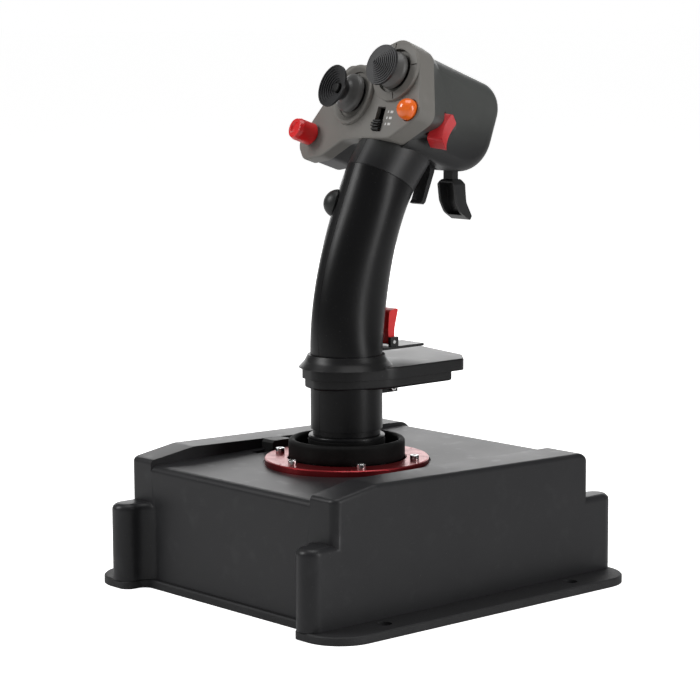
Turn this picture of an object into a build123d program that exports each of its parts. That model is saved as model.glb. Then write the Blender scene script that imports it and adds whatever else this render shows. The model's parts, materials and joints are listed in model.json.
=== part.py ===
from build123d import *
import os
from math import cos, hypot, radians, sin

# A desk flight joystick: a weighted base box with a two-axis gimbal, and a pilot's grip with
# hats, buttons, levers, a trigger and a palm rest. Sizes are in mm and angles in degrees.
# +X is the pilot's right, +Y points away from the pilot and +Z is up.
# The origin is on the floor, under the middle of the base.

# ---- Clearances and small fasteners -------------------------------------------------------
run_gap = 0.05        # radial clearance of a shaft in its bore
slide_gap = 0.4       # clearance round buttons, levers and switches
seam_gap = 0.1        # half of the hairline between two shells
m3_r = 1.5
m3_head_r = 2.75
m3_head_h = 3.0
m4_r = 2.0
m4_head_r = 4.0
m4_head_h = 2.2

# ---- Base ---------------------------------------------------------------------------------
plate_half_x = 116.0
plate_half_y = 123.0
plate_corner_r = 24.0
plate_t = 5.0
plate_lip = 2.5       # how far the plate's edge stands out past the cover's recessed walls
mount_half_x = 103.0
mount_half_y = 76.0
mount_hole_r = 4.5

cover_half_x = 95.0
cover_near_y = -105.5
cover_far_y = 101.5
cover_corner_r = 5.5
cover_wall = 3.0
cover_edge_r = 3.0
panel_near_z = 74.8   # sunken centre panel, at the pilot's edge
panel_far_z = 78.2
cheek_near_z = 77.8   # raised side cheeks
cheek_knee_z = 83.2
cheek_knee_y = -73.3
cheek_far_z = 80.0
cheek_near_x = 74.0   # inner edge of the cheeks, near and far
cheek_far_x = 66.0
far_round = 9.0       # rounding of the far top edge
far_over = 0.3        # the rounding meets the far wall at a faint crease, this far out
pillar_r = 8.8
pillar_reach = 124.0
pillar_h = 52.0
pillar_blend = 9.0
pillar_top_r = 4.0

usb_z = 24.0
usb_w = 12.0
usb_h = 11.0

board_half_x = 34.0
board_y = (52.0, 92.0)
board_z = 13.0
board_t = 1.6

latch_x = (-67.0, -56.5)
latch_y = (-24.0, -8.0)
latch_z = (72.2, 82.8)
latch_travel = 10.0
latch_neck = 2.2      # how much narrower the latch is in its slot than above it
latch_knob_h = 5.6

# ---- Stick axis, ring and gimbal ------------------------------------------------------------
stick_y = -12.5
pivot_z = 48.0
ring_r = 50.0
ring_bore_r = 36.0
ring_t = 4.0
ring_seat_z = 75.3
ring_screw_count = 6
ring_screw_pcd = 86.0
boot_r = 35.4
boot_top_z = 91.0
boot_wall = 4.4

frame_half_x = 48.0
frame_cheek_t = 8.0
frame_foot_t = 5.0
frame_ring_t = 6.0
bearing_r = 9.5
bearing_w = 6.0
pitch_shaft_r = 5.0
roll_shaft_r = 4.0
roll_bearing_r = 8.0
yoke_half_x = 27.0
yoke_half_y = 31.0
yoke_half_z = 10.5
yoke_open_x = 17.5
yoke_open_y = 21.5
block_half = 11.0
tube_r = 8.0
tube_bore_r = 5.5
core_wall = 3.0       # wall of the grip adapter round the tube
screw_boss_r = 4.0
shaft_over = 2.0      # end of the pitch shaft past the frame
magnet_t = 3.0
sensor_gap = 1.5      # between a magnet and its sensor board

nut_r = 23.2          # union nut at the foot of the grip
nut_low_z = 84.0
nut_top_z = 93.5
neck_groove_r = 20.5

# ---- Handle -----------------------------------------------------------------------------------
handle_r = 21.8       # round foot of the handle
handle_low_z = 97.0
handle_wall = 3.0
spine_z = 136.0       # where the handle starts to lean forward
spine_r = 232.0
spine_end = 28.4      # lean of the handle's top, degrees
grip_start = 1.73     # lean where the round foot turns into an oval
grip_ovals = ((5.0, 20.2, 23.4), (15.0, 19.8, 23.0), (28.4, 19.8, 22.8))
handle_screw_leans = (8.0, 24.0)

# ---- Palm rest --------------------------------------------------------------------------------
palm_top_z = 135.5
palm_t = 7.2
palm_boss_t = 6.0
palm_boss_back = 30.7  # how far the boss stops short of the plate's front edge
palm_skirt_h = 6.7
palm_skirt_t = 1.6
palm_ear_h = 5.6      # clamp ears under the hub
palm_fore_y = 80.0
palm_right_x = handle_r + 7.7
palm_left_x = -handle_r - 17.2

# ---- Head, in its own plane: x to the right, y up along the face, z out towards the pilot -----
head_tilt = 20.0
head_setback = 11.2   # from the spine's end to the face's lower edge
head_rise = 24.1
crease_x = -5.0       # where the left lobe turns away
lobe_turn = 7.0
right_band = 13.0     # depth of the face plate's side wall
left_band = 8.0
face_wall = 3.0
face_edge_r = 1.2
nose_left = -22.0
nose_right = 24.0
nose_h = 58.5
nose_depth = 82.4
nose_top_r = 17.0
nose_chin_r = 25.0
nose_side_r = 8.0
shell_wall = 3.0

cone_hat_at = (12.0, 43.0)
dish_hat_at = (-18.0, 28.5)     # in the left lobe's plane
red_button_at = (-52.0, 3.0)    # in the left lobe's plane
ball_button_at = (31.0, 19.5)
ball_r = 6.5
red_button_r = 7.0
red_button_h = 15.0
switch_h = 6.6
switch_travel = 7.6
slot_x = (3.2, 10.2)
slot_y = (5.6, 5.6 + switch_h + switch_travel + 3 * slide_gap)

red_stem_r = 4.2
board_depth = -16.0   # front of the circuit boards behind the face

socket_r = 10.5       # hat sockets
hat_pivot = -7.0
hat_lift = 2.9        # lower edge of a hat's skirt above the face
disc_r = 18.6
disc_bore_r = 13.5
ring_in_r = 14.4
dish_button_r = 3.0
dish_button_travel = 0.6
thumb_lean = 22.9     # place of the thumb hat along the spine, degrees
thumb_turn = 48.0     # turned from -X towards the pilot, degrees
thumb_reach = 18.4    # from the spine to the plane the thumb hat stands on
thumb_size = 0.75
cone_steps = 12
dish_steps = 7
thumb_rim_r = 8.6
thumb_sink = 0.4      # top of the thumb hat's socket below its plane
thumb_hole_r = 9.6    # hole that the dome's rim tilts in

pin_r = 1.2
pin_grip = 2.5        # length of a lever's pin in each of its ribs
trigger_y = 75.0
trigger_pivot_z = 261.0
trigger_half_w = 8.0
trigger_stem_half = 4.0
fore_pivot_y = 55.5
fore_pivot_z = 257.0
fore_half_w = 5.0
side_lever_at = (33.0, 16.0, -30.0)
side_lever_lean = 24.7
side_lever_roll = -20.0
side_lever_w = 11.0
side_lever_l = 20.0
paddle_half_w = 7.0
bracket_t = 1.6
paddle_pivot_y = stick_y + 31.0
paddle_pivot_z = palm_top_z + palm_skirt_h + 5.1

head_screw_spots = ((50.0, 34.0), (48.0, 66.0), (24.0, 40.0))   # (up, deep) in the head's plane
sleeve_t = 2.3
sleeve_down = 4.0     # reach of the neck sleeve below and above the seam
sleeve_up = 5.0
switch_half = 2.6     # tactile switches under the buttons

NODES = {}


def keep(name, shape):
    """File one piece under its node name."""
    NODES[name] = shape


def cylinder(r, low, high, x=0.0, y=0.0):
    """Upright cylinder between two heights."""
    return Pos(x, y, low) * Cylinder(r, high - low, align=(Align.CENTER, Align.CENTER, Align.MIN))


def tube(r, bore, low, high, x=0.0, y=0.0):
    """Upright tube between two heights."""
    return cylinder(r, low, high, x, y) - cylinder(bore, low - 1, high + 1, x, y)


def rod(r, start, end):
    """Cylinder from one point to another."""
    a, b = Vector(*start), Vector(*end)
    plane = Plane(origin=a, z_dir=b - a)
    height = (b - a).length
    return plane.location * Cylinder(r, height, align=(Align.CENTER, Align.CENTER, Align.MIN))


def block(x, y, z):
    """Box from its lower and upper limits on each axis."""
    size = (x[1] - x[0], y[1] - y[0], z[1] - z[0])
    return Pos((x[0] + x[1]) / 2, (y[0] + y[1]) / 2, (z[0] + z[1]) / 2) * Box(*size)


def outline(points, radii=None):
    """Flat polygon with its corners rounded one by one."""
    face = make_face(Polyline(*points, close=True))
    for point, r in zip(points, radii or [0] * len(points)):
        if r:
            corner = sorted(face.vertices(), key=lambda v: hypot(v.X - point[0], v.Y - point[1]))[0]
            face = fillet(corner, r)
    return face


def side_prism(points, radii, half_x):
    """Prism along X from an outline given as (y, z) points."""
    face = Plane.YZ.location * outline(points, radii)
    return extrude(face, half_x, both=True)


def revolved(points, radii=None):
    """Solid of revolution about Z from an outline given as (r, z) points."""
    face = Plane.XZ.location * outline(points, radii)
    return revolve(face, Axis.Z)


def socket_screw(r, head_r, head_h, length):
    """Cap screw with its seat at the origin and its shank pointing down."""
    hex_hole = Pos(0, 0, head_h * 0.45) * extrude(RegularPolygon(head_r * 0.52, 6), head_h)
    head = Pos(0, 0, head_h / 2) * Cylinder(head_r, head_h)
    head = chamfer(head.edges().sort_by(Axis.Z)[-1:], 0.3)
    shank = cylinder(r, -length, 0)
    return head + shank - hex_hole


def countersunk_screw(r, head_r, head_h, length):
    """Flat-head screw whose head's face is at the origin and whose shank points up."""
    hex_hole = extrude(RegularPolygon(head_r * 0.42, 6), head_h * 0.6)
    head = revolved([(0, 0), (head_r, 0), (r, head_h), (0, head_h)])
    return head + cylinder(r, head_h, length) - hex_hole


# ---- Base plate and cover -----------------------------------------------------------------------

def pillar_centre():
    """Centre of the rounded nose of a corner pillar, in the +X +Y quarter."""
    return cover_half_x - pillar_r, pillar_reach - pillar_r


def wall_y(side):
    """Cover wall on the near (-1) or far (+1) side."""
    return cover_near_y if side < 0 else cover_far_y


def footprint(inset=0.0):
    """Plan of the cover's box."""
    half = cover_half_x - inset
    near, far = cover_near_y + inset, cover_far_y - inset
    corner = max(cover_corner_r - inset, 1.0)
    return Pos(0, (near + far) / 2) * RectangleRounded(2 * half, far - near, corner)


def pillar_plan(side_x, side_y, inset=0.0):
    """Plan of one corner pillar, blended into the recessed wall on its inner side."""
    cx, cy = pillar_centre()
    inner = cx - pillar_r
    wall = abs(wall_y(side_y))
    top = cy
    nose = Pos(cx, cy) * Circle(pillar_r - inset)
    body = make_face(Polyline(
        (cover_half_x - inset, wall - 12), (cover_half_x - inset, top), (inner + inset, top),
        (inner + inset, wall - 12), close=True))
    web = make_face(Polyline(
        (inner - pillar_blend, wall - 6), (inner + 2, wall - 6), (inner + 2, wall + pillar_blend),
        (inner, wall + pillar_blend), (inner - pillar_blend, wall), close=True))
    web -= Pos(inner - pillar_blend, wall + pillar_blend) * Circle(pillar_blend)
    plan = nose + body
    if not inset:
        plan += web
    return scale(plan, (side_x, side_y, 1)) if side_x * side_y > 0 else \
        mirror(scale(plan, (-side_x, side_y, 1)), Plane.YZ)


def pillar(side_x, side_y, low, high, inset=0.0):
    """Upright corner pillar."""
    return Pos(0, 0, low) * extrude(pillar_plan(side_x, side_y, inset), high - low)


def corners():
    """Signs of the four quarters."""
    return [(x, y) for x in (-1, 1) for y in (-1, 1)]


def top_profile(near_z, far_z, knee=None, drop=0.0):
    """Side view of the cover's top, from the pilot's wall to the far wall, as a prism along X."""
    near, far = cover_near_y - 1, cover_far_y + far_over - drop
    points = [(near, plate_t), (near, near_z - drop)]
    radii = [0, 0]
    if knee:
        points.append((knee[0], knee[1] - drop))
        radii.append(14.0)
    points += [(far, far_z - drop), (far, plate_t)]
    radii += [far_round, 0]
    return side_prism(points, radii, cover_half_x + 1)


def centre_column(grow=0.0):
    """Everything between the two cheeks, full height."""
    near, far = cover_near_y - 2, cover_far_y + 2
    slope = (cheek_far_x - cheek_near_x) / (cover_far_y - cover_near_y)
    near_x, far_x = cheek_near_x - 2 * slope + grow, cheek_far_x + 2 * slope + grow
    plan = outline([(-near_x, near), (near_x, near), (far_x, far), (-far_x, far)])
    return extrude(plan, 200)


def near_edge_softener():
    """Takes the sharp corner off the pilot's top edge, along X."""
    r = 4.0
    y, z = cover_near_y, panel_near_z
    corner = Plane.YZ.location * (Pos(y, z) * Rectangle(2 * r, 2 * r) - Pos(y + r, z - r) * Circle(r)
                                  - Pos(y + r, z - 2 * r) * Rectangle(2 * r, 2 * r)
                                  - Pos(y + 2 * r, z - r) * Rectangle(2 * r, 2 * r))
    return extrude(corner, cheek_near_x, both=True)


def build_plate():
    plan = RectangleRounded(2 * plate_half_x, 2 * plate_half_y, plate_corner_r)
    cx, _ = pillar_centre()
    inner = cx - pillar_r
    for side in (-1, 1):
        wall = abs(wall_y(side)) + plate_lip
        recess = Pos(0, side * (wall + plate_half_y)) * Rectangle(2 * inner, 2 * plate_half_y)
        plan -= recess
    plate = extrude(plan, plate_t)
    inner_edges = plate.edges().filter_by(Axis.Z).filter_by(lambda e: abs(abs(e.center().X) - inner) < 0.5)
    plate = fillet(inner_edges, 6.0)
    for x, y in corners():
        plate -= cylinder(mount_hole_r, -1, plate_t + 1, x * mount_half_x, y * mount_half_y)
    plate = chamfer(plate.faces().sort_by(Axis.Z)[-1].outer_wire().edges(), 0.8)
    for x, y in cover_screw_spots():
        plate -= countersink(m4_r, m4_head_r, m4_head_h, x, y)
    for x, y in frame_screw_spots():
        plate -= countersink(m4_r, m4_head_r, m4_head_h, x, y)
    for x, y in board_screw_spots():
        plate -= cylinder(m3_r, -1, plate_t + 1, x, y) + cylinder(m3_head_r + 0.2, -1, 2.2, x, y)
    return plate


def countersink(r, head_r, head_h, x, y):
    """Cutter for a flat-head screw put in from below."""
    cone = revolved([(0, 0), (head_r + 0.1, 0), (r + 0.1, head_h), (0, head_h)])
    return Pos(x, y, 0) * (cone + cylinder(r + 0.1, 0, plate_t + 1) + cylinder(head_r + 0.1, -1, 0))


def cover_screw_spots():
    cx, cy = pillar_centre()
    return [(x * cx, y * cy) for x, y in corners()]


def frame_screw_spots():
    return [(x * (frame_half_x - 6), stick_y + y * 40) for x, y in corners()]


def board_screw_spots():
    return [(x * (board_half_x - 4), y) for x in (-1, 1) for y in (board_y[0] + 4, board_y[1] - 14)]


def ring_cutter(r, low, high):
    return cylinder(r, low, high, 0, stick_y)


def build_cover():
    prism = extrude(footprint(), 200)
    cheeks = prism & top_profile(cheek_near_z, cheek_far_z, (cheek_knee_y, cheek_knee_z))
    cheeks = fillet(cheek_edges(cheeks), cover_edge_r)
    panel = prism & top_profile(panel_near_z, panel_far_z)
    column = centre_column()
    body = (cheeks - column) + (panel & column) - near_edge_softener()
    body &= block((-200, 200), (-200, 200), (plate_t, 200))
    for side_x, side_y in corners():
        post = pillar(side_x, side_y, plate_t, pillar_h)
        top = post.faces().sort_by(Axis.Z)[-1]
        wall = abs(wall_y(side_y)) + 1.0
        rim = [e for e in top.outer_wire().edges() if abs(e.center().Y) > wall]
        body += fillet(rim, pillar_top_r)
    cavity = extrude(footprint(cover_wall), 200) & top_profile(panel_near_z, panel_far_z, None, cover_wall)
    cavity &= block((-200, 200), (-200, 200), (plate_t - 1, 200))
    cavity -= ring_cutter(ring_r + 5, ring_seat_z - cover_wall, 100)
    body -= cavity
    for x, y in cover_screw_spots():
        body -= cylinder(m4_r, plate_t - 1, plate_t + 22, x, y)
    body -= ring_cutter(ring_r + 1.0, ring_seat_z, 100)
    body -= ring_cutter(ring_bore_r + 1.0, 50, 100)
    for angle in ring_screw_angles():
        x, y = polar(ring_screw_pcd / 2, angle)
        body -= cylinder(m3_r + 0.1, 60, 80, x, stick_y + y)
    body -= block((-usb_w / 2 - 0.5, usb_w / 2 + 0.5), (cover_far_y - 8, cover_far_y + 5),
                  (usb_z - usb_h / 2 - 0.5, usb_z + usb_h / 2 + 0.5))
    body -= block((latch_x[0] + latch_neck - slide_gap, latch_x[1] - latch_neck + slide_gap),
                  (latch_y[0] - latch_travel - slide_gap, latch_y[1] + slide_gap), (60, 100))
    return body


def cheek_edges(solid):
    """Long top edges of the cheeks, on the two side walls."""
    found = []
    for edge in solid.edges():
        centre = edge.center()
        flat = abs(edge.tangent_at(0.5).Z) < 0.5
        if flat and abs(abs(centre.X) - cover_half_x) < 0.01 and centre.Z > pillar_h:
            found.append(edge)
    return found


def polar(r, angle):
    return r * cos(radians(angle)), r * sin(radians(angle))


def ring_screw_angles():
    step = 360 / ring_screw_count
    return [30 + step * i for i in range(ring_screw_count)]


def build_base():
    keep("base_plate", build_plate())
    keep("base_cover", build_cover())
    screw = countersunk_screw(m4_r, m4_head_r, m4_head_h, plate_t + 18)
    screws = [Pos(x, y, 0) * screw for x, y in cover_screw_spots()]
    short = countersunk_screw(m4_r, m4_head_r, m4_head_h, plate_t + frame_foot_t - 0.5)
    screws += [Pos(x, y, 0) * short for x, y in frame_screw_spots()]
    keep("base_screws", Compound(screws))


# ---- Gimbal frame, ring and boot --------------------------------------------------------------

def build_frame():
    foot_y = 48.0
    low = plate_t
    foot = block((-frame_half_x - 4, frame_half_x + 4), (stick_y - foot_y, stick_y + foot_y),
                 (low, low + frame_foot_t))
    foot -= block((-26, 26), (stick_y - 30, stick_y + 30), (0, 20))
    for x, y in frame_screw_spots():
        foot -= cylinder(m4_r, 0, 20, x, y)
    ring_low = ring_seat_z - cover_wall - frame_ring_t
    ring = Pos(0, stick_y) * tube(ring_r, ring_bore_r + 2, ring_low, ring_seat_z - cover_wall)
    frame = foot + ring
    for side in (-1, 1):
        inner, outer = frame_half_x - frame_cheek_t, frame_half_x
        cheek = outline([(-26, low), (26, low), (16, pivot_z), (22, ring_low + 1), (-22, ring_low + 1),
                         (-16, pivot_z)])
        cheek = Plane.YZ.location * (Pos(stick_y, 0) * cheek)
        cheek = Pos(side * inner, 0, 0) * extrude(cheek, side * frame_cheek_t)
        frame += cheek
    for side in (-1, 1):
        start, end = side * (frame_half_x + 1), side * (frame_half_x - bearing_w)
        frame -= rod(bearing_r, (start, stick_y, pivot_z), (end, stick_y, pivot_z))
    frame -= rod(pitch_shaft_r + 1, (-60, stick_y, pivot_z), (60, stick_y, pivot_z))
    for angle in ring_screw_angles():
        x, y = polar(ring_screw_pcd / 2, angle)
        frame -= cylinder(m3_r, 40, 80, x, stick_y + y)
    return frame


def bearing(outer, bore, width):
    """Sealed ball bearing about Z, with recessed shields on both faces."""
    ring = Cylinder(outer, width) - Cylinder(bore, width + 1)
    for side in (-1, 1):
        groove = Cylinder(outer - 1.2, 0.8) - Cylinder(bore + 1.2, 0.9)
        ring -= Pos(0, 0, side * width / 2) * groove
    return ring


def build_gimbal():
    keep("gimbal_frame", build_frame())
    y, z = stick_y, pivot_z
    mid = frame_half_x - bearing_w / 2
    pitch_bearing = Rot(0, 90, 0) * bearing(bearing_r, pitch_shaft_r + run_gap, bearing_w)
    keep("pitch_bearings", Compound([Pos(x, y, z) * pitch_bearing for x in (-mid, mid)]))

    yoke = block((-yoke_half_x, yoke_half_x), (y - yoke_half_y, y + yoke_half_y),
                 (z - yoke_half_z, z + yoke_half_z))
    yoke = fillet(yoke.edges().filter_by(Axis.Z), 5.0)
    yoke -= block((-yoke_open_x, yoke_open_x), (y - yoke_open_y, y + yoke_open_y), (0, 100))
    for side in (-1, 1):
        root = (side * (yoke_half_x - 1), y, z)
        yoke += rod(pitch_shaft_r, root, (side * (frame_half_x + shaft_over), y, z))
        yoke += rod(pitch_shaft_r + 2, root, (side * (yoke_half_x + 1.5), y, z))
    roll_mid = yoke_half_y - bearing_w / 2
    for side in (-1, 1):
        yoke -= rod(roll_bearing_r, (0, y + side * (yoke_half_y - bearing_w), z), (0, y + side * 60, z))
    yoke -= rod(roll_shaft_r + 1, (0, y - 60, z), (0, y + 60, z))
    keep("pitch_yoke", yoke)
    roll_bearing = Rot(90, 0, 0) * bearing(roll_bearing_r, roll_shaft_r + run_gap, bearing_w)
    keep("roll_bearings", Compound([Pos(0, y + s * roll_mid, z) * roll_bearing for s in (-1, 1)]))

    core = block((-block_half, block_half), (y - yoke_open_y + 2, y + yoke_open_y - 2),
                 (z - block_half, z + block_half))
    core = chamfer(core.edges().filter_by(Axis.Z), 2.0)
    core += rod(roll_shaft_r, (0, y - yoke_half_y - 1.5, z), (0, y + yoke_half_y + 1.5, z))
    core -= cylinder(tube_r, z - 2, 100, 0, y)
    core -= cylinder(tube_bore_r, 0, 100, 0, y)
    keep("roll_block", core)
    keep("stick_tube", Pos(0, y) * tube(tube_r, tube_bore_r, z - 2, handle_low_z + 45))

    end = frame_half_x + shaft_over
    keep("pitch_magnet", rod(3.5, (end, y, z), (end + magnet_t, y, z)))
    far = y + yoke_half_y + 1.5
    keep("roll_magnet", rod(3.0, (0, far, z), (0, far + magnet_t, z)))
    sensor_x = end + magnet_t + sensor_gap
    board = block((sensor_x, sensor_x + board_t), (y - 9, y + 9), (plate_t + frame_foot_t, z + 9))
    chip = block((sensor_x - 1.0, sensor_x), (y - 2.5, y + 2.5), (z - 2.5, z + 2.5))
    bracket = block((frame_half_x + 4, sensor_x + board_t), (y - 9, y + 9), (plate_t, plate_t + frame_foot_t))
    keep("pitch_sensor_board", board + chip + bracket)
    sensor_y = far + magnet_t + sensor_gap
    roll_board = block((-9, 9), (sensor_y, sensor_y + board_t), (z - 9, z + 9))
    roll_board += block((-2.5, 2.5), (sensor_y - 1.0, sensor_y), (z - 2.5, z + 2.5))
    for side in (-1, 1):
        roll_board += rod(1.6, (side * 7, y + yoke_half_y, z + 7), (side * 7, sensor_y, z + 7))
        roll_board += rod(1.6, (side * 7, y + yoke_half_y, z - 7), (side * 7, sensor_y, z - 7))
    keep("roll_sensor_board", roll_board)
    keep("pitch_springs", Compound([pitch_spring(side) for side in (-1, 1)]))
    keep("roll_spring", roll_spring())


def coil(r, wire_r, pitch, turns):
    """Open coil about Z, starting at z = 0."""
    path = Helix(pitch, pitch * turns, r)
    section = Plane(origin=path @ 0, z_dir=path % 0) * Circle(wire_r)
    return sweep(section, path)


def pitch_spring(side):
    """Centring spring round a pitch shaft, between the yoke and the frame."""
    start = yoke_half_x + 2.6
    spring = coil(8.4, 0.8, 2.1, 4)
    return Pos(side * start, stick_y, pivot_z) * Rot(0, side * 90, 0) * spring


def roll_spring():
    """Centring spring round the roll shaft, between the block and the yoke."""
    return Pos(0, stick_y - yoke_half_y - 2.6, pivot_z) * Rot(90, 0, 0) * coil(6.2, 0.7, 1.9, 4)


def build_ring():
    low, high = ring_seat_z, ring_seat_z + ring_t
    ring = Pos(0, stick_y) * tube(ring_r, ring_bore_r, low, high)
    ring = chamfer(ring.edges().filter_by(GeomType.CIRCLE).sort_by(Axis.Z)[-2:], 0.6)
    for angle in ring_screw_angles():
        x, y = polar(ring_screw_pcd / 2, angle)
        ring -= cylinder(m3_r + 0.1, 60, 90, x, stick_y + y)
        x, y = polar(ring_r - 2.4, angle - 8)
        ring -= cylinder(0.8, high - 1.5, 90, x, stick_y + y)
    keep("ring_flange", ring)
    screw = socket_screw(m3_r, m3_head_r, m3_head_h, ring_t + cover_wall + frame_ring_t - 1)
    screws = []
    for angle in ring_screw_angles():
        x, y = polar(ring_screw_pcd / 2, angle)
        screws.append(Pos(x, stick_y + y, high) * Rot(0, 0, angle) * screw)
    keep("ring_screws", Compound(screws))
    top = boot_top_z
    inner = boot_r - boot_wall
    wall = revolved([(inner, high), (boot_r, high), (boot_r, top), (inner, top)], [0, 0, 2.1, 2.1])
    keep("rubber_boot", Pos(0, stick_y) * wall)


def build_electronics():
    board = block((-board_half_x, board_half_x), board_y, (board_z, board_z + board_t))
    for x, y in board_screw_spots():
        board -= cylinder(m3_r, 0, 30, x, y)
        board += tube(3.0, m3_r, plate_t, board_z, x, y)
    for x, w in ((-18, 10), (6, 14)):
        board += block((x, x + w), (62, 62 + w), (board_z + board_t, board_z + board_t + 1.4))
    keep("main_board", board)
    screw = Rot(180, 0, 0) * socket_screw(m3_r, m3_head_r, 2.0, board_z + board_t - 2.2)
    keep("board_screws", Compound([Pos(x, y, 2.2) * screw for x, y in board_screw_spots()]))
    y = (board_y[1] - 8, cover_far_y - 0.4)
    low = board_z + board_t
    shell = block((-usb_w / 2, usb_w / 2), (y[0], cover_far_y - cover_wall - 0.2), (low, usb_z + usb_h / 2))
    shell += block((-usb_w / 2, usb_w / 2), y, (usb_z - usb_h / 2, usb_z + usb_h / 2))
    shell -= block((-4.6, 4.6), (y[1] - 9, y[1] + 1), (usb_z - 4.2, usb_z + 4.2))
    shell += block((-2.6, 2.6), (y[1] - 9, y[1] - 1), (usb_z - 1.6, usb_z + 1.0))
    keep("usb_socket", shell)


def build_latch():
    low, high = latch_z
    neck = block((latch_x[0] + latch_neck, latch_x[1] - latch_neck), latch_y, (low - 1, high - 4))
    knob = block(latch_x, latch_y, (high - latch_knob_h, high))
    knob = chamfer(knob.edges().filter_by(Axis.X).sort_by(Axis.Z)[-2:], 1.5)
    foot = block((latch_x[0] - 1, latch_x[1] + 1), (latch_y[0] - 1, latch_y[1] + 1), (low - 3, low - 0.8))
    keep("release_latch", neck + knob + foot)


# ---- Handle ---------------------------------------------------------------------------------------

def spine_point(lean):
    """Centre of the handle where it leans by the given angle."""
    t = radians(lean)
    return Vector(0, stick_y + spine_r * (1 - cos(t)), spine_z + spine_r * sin(t))


def spine_plane(lean):
    """Plane across the handle: x is the pilot's right and y points forward."""
    t = radians(lean)
    return Plane(origin=spine_point(lean), x_dir=(1, 0, 0), z_dir=(0, sin(t), cos(t)))


def foot_plan(inset):
    """Plan of the handle's foot: round, but built as an oval so that the loft above it starts evenly."""
    return Pos(0, stick_y) * Ellipse(handle_r - inset - 0.01, handle_r - inset)


def grip_solid(inset=0.0):
    """The leaning oval part of the handle."""
    sections = [Pos(0, 0, spine_point(grip_start).Z) * foot_plan(inset)]
    for lean, half_x, half_y in grip_ovals:
        sections.append(spine_plane(lean).location * Ellipse(half_x - inset, half_y - inset))
    return loft(sections)


def handle_solid(inset=0.0):
    """The whole handle, from its round foot to the seam below the head."""
    foot = extrude(foot_plan(inset), spine_point(grip_start).Z - handle_low_z)
    return Pos(0, 0, handle_low_z) * foot + grip_solid(inset)


def half(shape, side, gap=seam_gap):
    """The part of a shape on the right (+1) or left (-1) of the seam."""
    limit = (gap, 200) if side > 0 else (-200, -gap)
    return shape & block(limit, (-300, 300), (0, 400))


def handle_screw_spots():
    """Where the screws that join the handle's halves cross the seam."""
    spots = [(spine_point(lean).Y + 11.0, spine_point(lean).Z) for lean in handle_screw_leans]
    lowest_y = stick_y + tube_r + core_wall + screw_boss_r + 0.5
    return [(lowest_y, handle_low_z + 10.0)] + spots


def build_handle():
    outer = handle_solid()
    shell = outer - handle_solid(handle_wall)
    for y, z in handle_screw_spots():
        shell += rod(screw_boss_r, (-handle_r, y, z), (handle_r, y, z)) & outer
    shell -= thumb_plane().location * cylinder(thumb_hole_r, -thumb_sink, 12)
    shell -= thumb_plane().location * cylinder(socket_r * thumb_size + run_gap, -12, 0)
    for y, z in handle_screw_spots():
        shell -= rod(m3_r, (-9, y, z), (9, y, z))
        shell -= rod(m3_head_r + 0.2, (-40, y, z), (-9, y, z))
    keep("handle_right", half(shell, 1))
    keep("handle_left", half(shell, -1))

    nut = revolved([(tube_r + 8, nut_low_z), (nut_r, nut_low_z), (nut_r, nut_top_z), (tube_r + 8, nut_top_z)],
                   [0, 1.5, 1.2, 0])
    for i in range(24):
        x, y = polar(nut_r + 0.9, 15 * i)
        nut -= cylinder(1.3, nut_low_z - 1, nut_top_z - 2.4, x, y)
    keep("union_nut", Pos(0, stick_y) * nut)
    adapter = cylinder(tube_r + 8, nut_low_z, nut_top_z)
    adapter += cylinder(neck_groove_r, nut_top_z, handle_low_z)
    adapter += cylinder(handle_r - handle_wall - run_gap, handle_low_z, handle_low_z + 5)
    adapter += cylinder(tube_r + core_wall, handle_low_z, handle_low_z + 40)
    adapter -= cylinder(tube_r, 0, 200)
    keep("grip_adapter", Pos(0, stick_y) * adapter)


# ---- Palm rest -------------------------------------------------------------------------------------

def palm_plan(inset=0.0):
    """Plan of the palm rest: round the handle at the back and square at the front."""
    hub = handle_r + 2.0
    right, left, fore = palm_right_x - inset, palm_left_x + inset, palm_fore_y - inset
    points = [(-14, stick_y - hub + inset), (4, stick_y - hub - 5 + inset), (right - 9, stick_y - 14),
              (right, stick_y + 12), (right, fore - 22), (right - 14, fore - 10), (left + 4, fore),
              (left, fore - 12), (-hub + inset, stick_y + 10), (-hub + inset, stick_y - 6)]
    radii = [6, 12, 30, 30, 8, 10, 5, 8, 30, 10]
    return outline(points, radii)


def build_palm_rest():
    low = palm_top_z - palm_t
    plate = Pos(0, 0, low) * extrude(palm_plan(), palm_t)
    plate = fillet(plate.faces().sort_by(Axis.Z)[-1].outer_wire().edges(), 0.9)
    boss = Pos(0, 0, low - palm_boss_t) * extrude(palm_plan(2.0), palm_boss_t + 1)
    reach = palm_fore_y - palm_boss_back
    boss &= block((-100, 100), (-100, reach), (0, 200))
    boss = fillet(boss.edges().filter_by(lambda e: e.center().Z < low - palm_boss_t + 0.01), 1.6)
    top_r = handle_r + palm_skirt_t
    skirt = revolved([(handle_r - 3, palm_top_z - 1), (top_r + 5.5, palm_top_z - 1),
                      (top_r + 1.8, palm_top_z + palm_skirt_h * 0.45), (top_r, palm_top_z + palm_skirt_h),
                      (handle_r - 3, palm_top_z + palm_skirt_h)], [0, 0, 8, 0, 0])
    ear_low = low - palm_boss_t - palm_ear_h
    ears = block((-9, 9), (stick_y + handle_r - 4, stick_y + handle_r + 12), (ear_low, low - palm_boss_t + 1))
    rest = plate + boss + Pos(0, stick_y) * skirt + ears
    rest -= cylinder(handle_r + run_gap, 50, 200, 0, stick_y)
    rest -= block((-1.2, 1.2), (stick_y, stick_y + handle_r + 13), (ear_low - 1, low - palm_boss_t))
    y, z = stick_y + handle_r + 7, ear_low + palm_ear_h / 2 + 0.2
    rest -= rod(m3_r, (-20, y, z), (20, y, z))
    keep("palm_rest", rest)
    keep("palm_rest_screw", Pos(9, y, z) * Rot(0, 90, 0) * socket_screw(m3_r, 2.2, 2.4, 17))


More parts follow.
